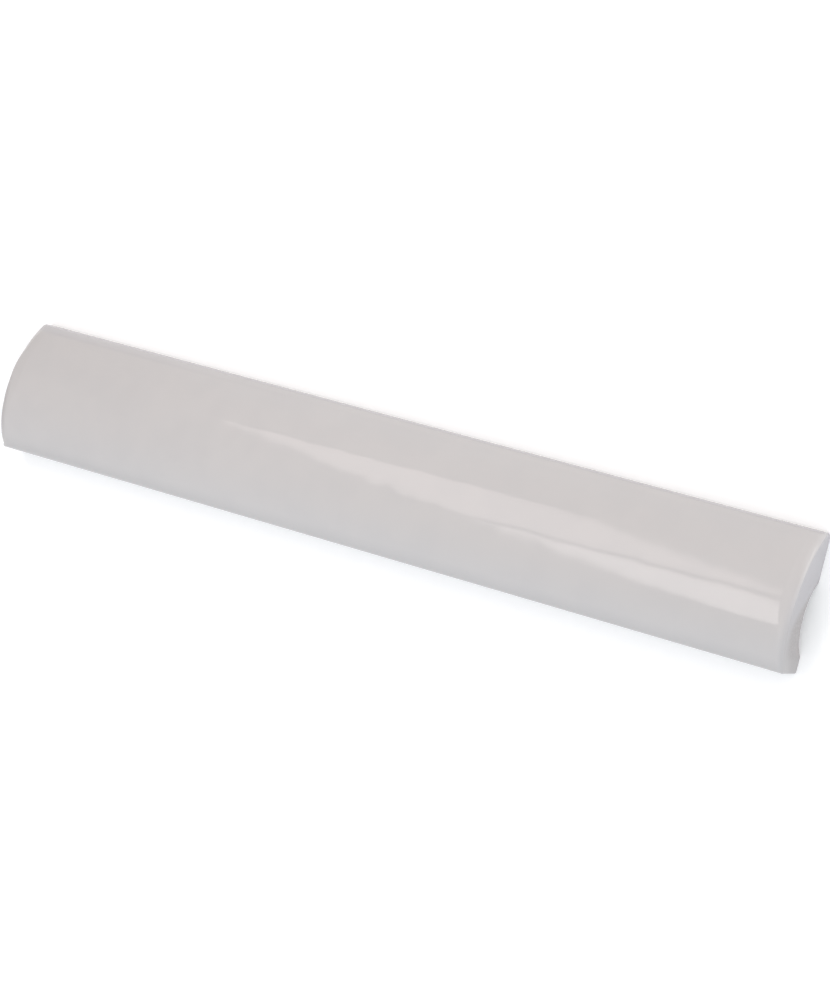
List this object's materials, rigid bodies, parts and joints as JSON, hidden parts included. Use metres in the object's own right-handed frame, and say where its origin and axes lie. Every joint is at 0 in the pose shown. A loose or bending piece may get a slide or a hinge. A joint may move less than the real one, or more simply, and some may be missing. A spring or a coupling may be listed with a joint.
{
  "type": "bullnose tile",
  "caption": "Glazed ceramic trim strip with a rounded face that falls from a thick edge to a thin one and a hollow back, for finishing the edge of a tiled wall.",
  "frame": {"origin": "middle of the back, on the plane of the two lands that meet the wall", "axes": "+X along the strip, +Y from the thick lower edge to the thin upper edge, +Z out of the glazed face"},
  "size_m": [0.2, 0.03, 0.0125],
  "materials": {
    "glaze": "pale warm grey, glossy glaze over fired clay"
  },
  "bodies": {
    "root": {"bullnose_tile": "glaze"}
  },
  "joints": []
}
